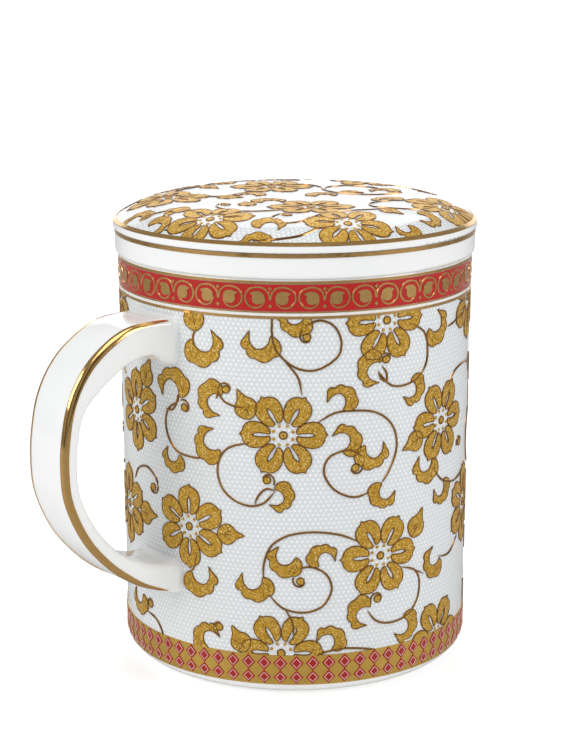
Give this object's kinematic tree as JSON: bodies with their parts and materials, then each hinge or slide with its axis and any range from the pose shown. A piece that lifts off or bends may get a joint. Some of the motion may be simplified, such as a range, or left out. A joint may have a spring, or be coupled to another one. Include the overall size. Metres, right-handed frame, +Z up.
{
  "type": "lidded infuser tea mug",
  "caption": "Straight-sided porcelain tea mug with a strap handle, a hanging drain-hole infuser and a low domed lid.",
  "frame": {"origin": "on the mug's axis, in the plane that its foot stands on", "axes": "+Z up along the mug's axis; the strap handle points along -X; Y runs across the handle's mirror plane"},
  "size_m": [0.1154, 0.0866, 0.11],
  "materials": {
    "porcelain": "clear glossy glaze",
    "red_enamel": "glossy fired enamel",
    "gold_lustre": "polished fired gold"
  },
  "bodies": {
    "mug": {"mug_body": "porcelain", "handle": "porcelain", "scroll_band": "red_enamel", "body_lines": "gold_lustre", "lozenge_band": "gold_lustre", "handle_lines": "gold_lustre"},
    "infuser": {"infuser": "porcelain", "collar_line": "gold_lustre"},
    "lid": {"lid": "porcelain", "lid_line": "gold_lustre"}
  },
  "joints": [
    {"name": "infuser_lift", "type": "slide", "parent": "mug", "child": "infuser", "axis": [0, 0, 1], "range_m": [0, 0.075]},
    {"name": "lid_lift", "type": "slide", "parent": "infuser", "child": "lid", "axis": [0, 0, 1], "range_m": [0, 0.05]}
  ]
}
